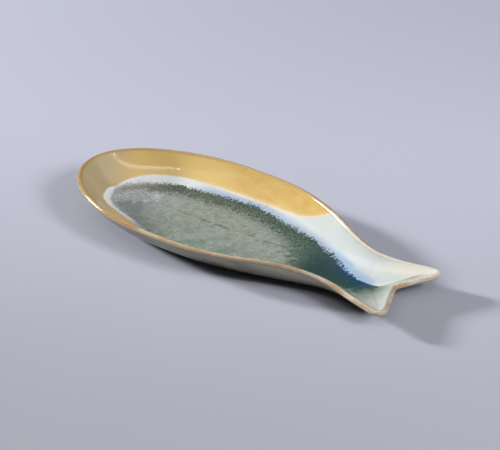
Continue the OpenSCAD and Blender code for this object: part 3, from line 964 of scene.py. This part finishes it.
@dataclass
class Platter:
    """The platter: its shell of clay, and the coats that cover it."""
    form: PlatterForm
    glaze: GlazeMap
    per_place: int = 6
    lip_steps: int = 22
    inside_rings: tuple[int, int, int] = (16, 9, 26)
    outside_rings: int = 30
    clay_rings: tuple[int, int, int] = (6, 12, 8)
    least_halo: float = 0.02

    @property
    def rays(self) -> Array:
        """The places of all rays round the rim."""
        return np.arange(self.form.places * self.per_place) / self.per_place

    def grid(self, rows: Array) -> tuple[Array, Array]:
        """A row of the same drop or angle for each of rows, and the rays' places in every row."""
        return np.meshgrid(rows, self.rays, indexing="ij")

    def weld(self, points: Array, cells: Array, ring: int) -> Array:
        """Joins the two sides of a grid along the spine, by giving points that meet one number.

        Args:
            points: the middle surface's points.
            cells: the grid's cells.
            ring: the ring that lies on the spine.

        Returns:
            The cells with the spine's points joined.
        """
        spine = np.arange(len(self.rays)) + ring * len(self.rays)
        _, first, back = np.unique(np.round(points[ring], 4), axis=0, return_index=True, return_inverse=True)
        number = np.arange(points.size // 3)
        number[spine] = spine[first[back.ravel()]]
        return number[cells]

    def even(self, normals: Array, cells: Array) -> Array:
        """Gives points that were joined the mean of their normals, and the rest their own."""
        flat = normals.reshape(-1, 3)
        total = np.zeros_like(flat)
        own = ring_cells(len(normals), len(self.rays)).ravel()
        np.add.at(total, cells.ravel(), flat[own])
        used = np.linalg.norm(total, axis=-1, keepdims=True) > 0
        return np.where(used, unit(total), flat).reshape(normals.shape)

    def coat(self, skin: Skin, glaze: ReactiveGlaze | LipGlaze | OutsideGlaze, node: str) -> Piece:
        """Builds a coat, which has its names from the solid that it stands for."""
        name = node.replace("_glaze", "_coat")
        return skin.build(name, glaze.make(node), node, node, self.form.middle_x)

    def inside_grid(self) -> tuple[Array, Array]:
        """Places and drops whose ring lines follow the edges of the coats.

        The rings from the rim to the ochre's edge, from there to the pool's edge and on to the
        spine are each spread evenly.
        """
        e, whole = self.glaze.edges, self.form.places
        ochre = e.at(self.rays, e.ochre, whole)
        pool = np.maximum(e.at(self.rays, e.pool, whole), ochre + self.least_halo)
        stops = [np.zeros_like(ochre), ochre, pool, np.full_like(ochre, 2.0)]
        rows = [between(low, high, np.arange(count)[:, None] / count)
                for low, high, count in zip(stops[:-1], stops[1:], self.inside_rings)]
        drop = np.concatenate(rows + [stops[-1][None]])
        return np.broadcast_to(self.rays, drop.shape), drop

    def inside_coats(self) -> list[Piece]:
        """The three coats on the inside, each cut out of one grid along its edges."""
        f = self.form
        place, drop = self.inside_grid()
        middle = f.middle(place, drop)
        cells = self.weld(middle, ring_cells(len(drop), len(self.rays)), len(drop) - 1)
        normal = self.even(f.even_normal(place, drop), cells)
        outer, inner = middle + f.half_wall * normal, middle + f.half_clay * normal
        marks = self.glaze.marks(place, drop, middle, f.wall_mm(place, drop) + f.lip_quarter)
        ochre, white = self.glaze.coats(place[:-1] + 0.5 / self.per_place, (drop[:-1] + drop[1:]) / 2)
        owner = np.where(ochre, 0, np.where(white, 1, 2)).ravel()
        return [self.coat(Skin(outer, normal, cells[owner == number][:, ::-1], inner, marks),
                          ReactiveGlaze(), coat.value) for number, coat in enumerate(Coat)]

    def rim_coat(self) -> Piece:
        """The coat over the lip: a half circle carried round the rim."""
        f = self.form
        angle, place = self.grid(np.linspace(0, math.pi, self.lip_steps + 1))
        outer, normal = f.lip(place, angle, f.half_wall)
        inner, _ = f.lip(place, angle, f.half_clay)
        marks = self.glaze.marks(place, np.zeros_like(place), outer, (math.pi / 2 - angle) * f.half_wall)
        skin = Skin(outer, normal, ring_cells(*place.shape), inner, marks)
        return self.coat(skin, LipGlaze(), "rim_glaze")

    def outside_coat(self) -> Piece:
        """The coat under the wall, from the lip down to the wall's foot."""
        f = self.form
        drop, place = self.grid(np.linspace(0, 1, self.outside_rings))
        middle, normal = f.middle(place, drop), -f.normal(place, drop)
        marks = self.glaze.marks(place, drop, middle, -f.wall_mm(place, drop) - f.lip_quarter)
        skin = Skin(middle + f.half_wall * normal, normal, ring_cells(*place.shape),
                    middle + f.half_clay * normal, marks)
        return self.coat(skin, OutsideGlaze(), "outside_glaze")

    def clay_body(self) -> Piece:
        """The shell of clay: over the floor, up the wall, round the lip and back under to the spine."""
        f = self.form
        floor, wall, lip = self.clay_rings
        drop, place = self.grid(np.append(np.linspace(2, 1, floor, endpoint=False),
                                          np.linspace(1, 0, wall, endpoint=False)))
        middle, up = f.middle(place, drop), f.normal(place, drop)
        angle, place = self.grid(np.linspace(0, math.pi, lip + 1))
        edge, out = f.lip(place, angle, f.half_clay)
        points = np.concatenate([middle + f.half_clay * up, edge, (middle - f.half_clay * up)[::-1]])
        cells = ring_cells(*points.shape[:2])
        for ring in (0, len(points) - 1):
            cells = self.weld(np.broadcast_to(middle[0], points.shape), cells, ring)
        skin = Skin(points, self.even(np.concatenate([up, out, -up[::-1]]), cells), cells)
        return skin.build("clay_shell", BareClay().make("bare_clay"), "bare_clay", "clay_body", f.middle_x)


@dataclass
class FootRing:
    """The bare ring that the platter stands on: an oval with a rounded section."""
    form: PlatterForm
    front: float = 56.0
    back: float = 90.0
    gap: float = 8.0
    thick: float = 5.0
    edge: float = 1.1
    edge_steps: int = 6
    side_share: float = 0.7
    around: int = 360

    def section(self) -> Array:
        """The ring's section, as distances inwards and heights: a rectangle whose foot is rounded."""
        side, high = self.thick / 2, self.form.foot_h
        turn = np.linspace(0, math.pi / 2, self.edge_steps)
        flat = side - self.edge
        low = np.stack([flat + self.edge * np.sin(turn), self.edge * (1 - np.cos(turn))], -1)
        half = np.concatenate([[[flat / 2, 0]], low, [[side, self.side_share * high], [side, high]]])
        return np.concatenate([half, half[::-1] * [-1, 1]]) * [-1, 1] + [side, 0]

    def build(self) -> Piece:
        """Carries the section round an oval: each point lies its own way inwards, at its own height."""
        f = self.form
        long, wide = (f.neck[0] - self.back - self.front) / 2, f.body_w / 2 - f.wall_w - self.gap
        angle = np.linspace(0, 2 * math.pi, self.around, endpoint=False)
        inward, height = self.section().T[..., None]
        x = (long - inward) * np.cos(angle) + self.front + long
        y = (wide - inward) * np.sin(angle)
        points = np.stack([x, y, np.broadcast_to(height, x.shape)], -1)
        across, along = (np.roll(points, -1, axis) - np.roll(points, 1, axis) for axis in (0, 1))
        skin = Skin(points, unit(np.cross(along, across)), ring_cells(*x.shape, closed=True))
        finish = BareClay().make("bare_foot")
        return skin.build("foot_ring_bare", finish, "bare_clay", "foot_ring", f.middle_x)


@dataclass(frozen=True)
class Lamp:
    """A soft lamp that looks at the middle of the dish.

    share is the part of the table's light that it gives, and turn, in degrees, swings the panel
    about its own middle. A level panel faces straight down. A lamp that isn't mirrored doesn't show
    in the gloss, and one that isn't lit shows only there. only names the one piece that it reaches.
    """
    name: str
    place: tuple[float, float, float]
    size: tuple[float, float]
    share: float
    turn: float = 0.0
    mirrored: bool = True
    lit: bool = True
    level: bool = False
    only: str = ""
    dish: tuple[float, float, float] = (0.03, 0.0, 0.02)

    def hang(self) -> None:
        """Puts the lamp in the scene, with the power that gives its share at its own distance."""
        light = bpy.data.lights.new(self.name, "AREA")
        light.shape = "RECTANGLE"
        light.size, light.size_y = self.size
        way = Vector(self.place) - Vector(self.dish)
        light.energy = self.share * math.pi ** 2 * way.length ** 3 / way.z
        lamp = bpy.data.objects.new(self.name, light)
        face = Matrix.Identity(4) if self.level else way.to_track_quat("Z", "Y").to_matrix().to_4x4()
        turned = Matrix.Rotation(math.radians(self.turn), 4, "Z")
        lamp.matrix_world = Matrix.Translation(self.place) @ face @ turned
        lamp.visible_glossy = self.mirrored
        lamp.visible_diffuse = self.lit
        bpy.context.collection.objects.link(lamp)
        if self.only:
            reached = bpy.data.collections.new(self.name)
            reached.objects.link(bpy.data.objects[self.only])
            lamp.light_linking.receiver_collection = reached


@dataclass(frozen=True)
class Studio:
    """The table, the light and the camera, in metres.

    The table's colour pales towards its far side as painted light, along a slanting line in millimetres.
    """
    table_side: float = 6.0
    table: Colour = (160, 162, 173)
    table_far_painted_light: Colour = (198, 200, 216)
    table_slant: Span = (-0.5, 0.85)
    table_painted_light_span: Span = (-420.0, 300.0)
    sky: Colour = (220, 225, 240)
    sky_strength: float = 0.05
    azimuth: float = 39.335
    elevation: float = 28.003
    distance: float = 1.7392
    lens: float = 129.6
    sensor: float = 36.0
    clip: Span = (0.05, 20.0)
    aim: tuple[float, float, float] = (0.00294, 0.0, 0.02925)
    slide: Span = (0.004444, -0.006518)
    lamps: tuple[Lamp, ...] = (
        Lamp("strip", (0.535, -0.405, 1.0), (1.5, 0.03), 0.22, turn=28.0, mirrored=False, level=True),
        Lamp("low_left", (-3.7, -0.92, 1.24), (0.5, 0.5), 0.5, mirrored=False),
        Lamp("right", (2.5, 0.2, 1.68), (0.9, 0.9), 0.38, mirrored=False),
        Lamp("ceiling", (0.15, 0.32, 1.0), (3.0, 1.2), 1.0, turn=28.0, lit=False, level=True),
        Lamp("shine", (0.43, -0.21, 1.0), (1.5, 0.01), 0.22, turn=28.0, lit=False, level=True),
        Lamp("glint", (-1.85, -0.46, 0.63), (0.3, 0.3), 0.3, lit=False, only="rim_coat"),
    )

    def lay_table(self) -> None:
        """A wide pale table just under the foot ring."""
        half = self.table_side / 2
        corners = [(-half, -half, 0), (half, -half, 0), (half, half, 0), (-half, half, 0)]
        mesh = bpy.data.meshes.new("table")
        mesh.from_pydata(corners, [], [(0, 1, 2, 3)])
        g = Graph("table", Roughness=0.6)
        # Painted light: the table's colour pales towards the far side.
        back = g.sway(g.aslant(*self.table_slant), (g.grain(300.0, 2.0, 0.5), 40.0))
        mesh.materials.append(g.finish(g.lay(self.table, self.table_far_painted_light, g.fade(back, *self.table_painted_light_span))))
        table = bpy.data.objects.new("table", mesh)
        bpy.context.collection.objects.link(table)

    def light(self) -> None:
        """An even sky and the lamps."""
        world = bpy.data.worlds.new("sky")
        world.use_nodes = True
        back = world.node_tree.nodes["Background"]
        back.inputs["Color"].default_value = srgb(self.sky)
        back.inputs["Strength"].default_value = self.sky_strength
        bpy.context.scene.world = world
        for lamp in self.lamps:
            lamp.hang()

    def aim_camera(self) -> None:
        """A long lens from a low three quarter angle: back from the aim, slid a little right and down."""
        a, e = math.radians(self.azimuth), math.radians(self.elevation)
        back = Vector((math.sin(a) * math.cos(e), -math.cos(a) * math.cos(e), math.sin(e)))
        right = Vector((math.cos(a), math.sin(a), 0))
        up = back.cross(right)
        camera = bpy.data.cameras.new("camera")
        camera.lens, camera.sensor_width = self.lens, self.sensor
        camera.clip_start, camera.clip_end = self.clip
        thing = bpy.data.objects.new("camera", camera)
        turn = Matrix((right, up, back)).transposed().to_4x4()
        place = Vector(self.aim) + back * self.distance + right * self.slide[0] + up * self.slide[1]
        thing.matrix_world = Matrix.Translation(place) @ turn
        bpy.context.collection.objects.link(thing)
        bpy.context.scene.camera = thing
        bpy.context.scene.view_settings.view_transform = "Standard"


def main() -> None:
    """Builds the platter and the studio."""
    logging.basicConfig(level=logging.INFO, format="%(name)s: %(message)s")
    form = PlatterForm()
    platter = Platter(form, GlazeMap(form, CoatEdges()))
    pieces = platter.inside_coats()
    pieces += [platter.rim_coat(), platter.outside_coat(), platter.clay_body(), FootRing(form).build()]
    for piece in pieces:
        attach(piece, ROOT)
        LOG.info("%s: %d faces", piece.name, len(piece.data.polygons))
    studio = Studio()
    studio.lay_table()
    studio.light()
    studio.aim_camera()


if __name__ == "__main__":
    main()
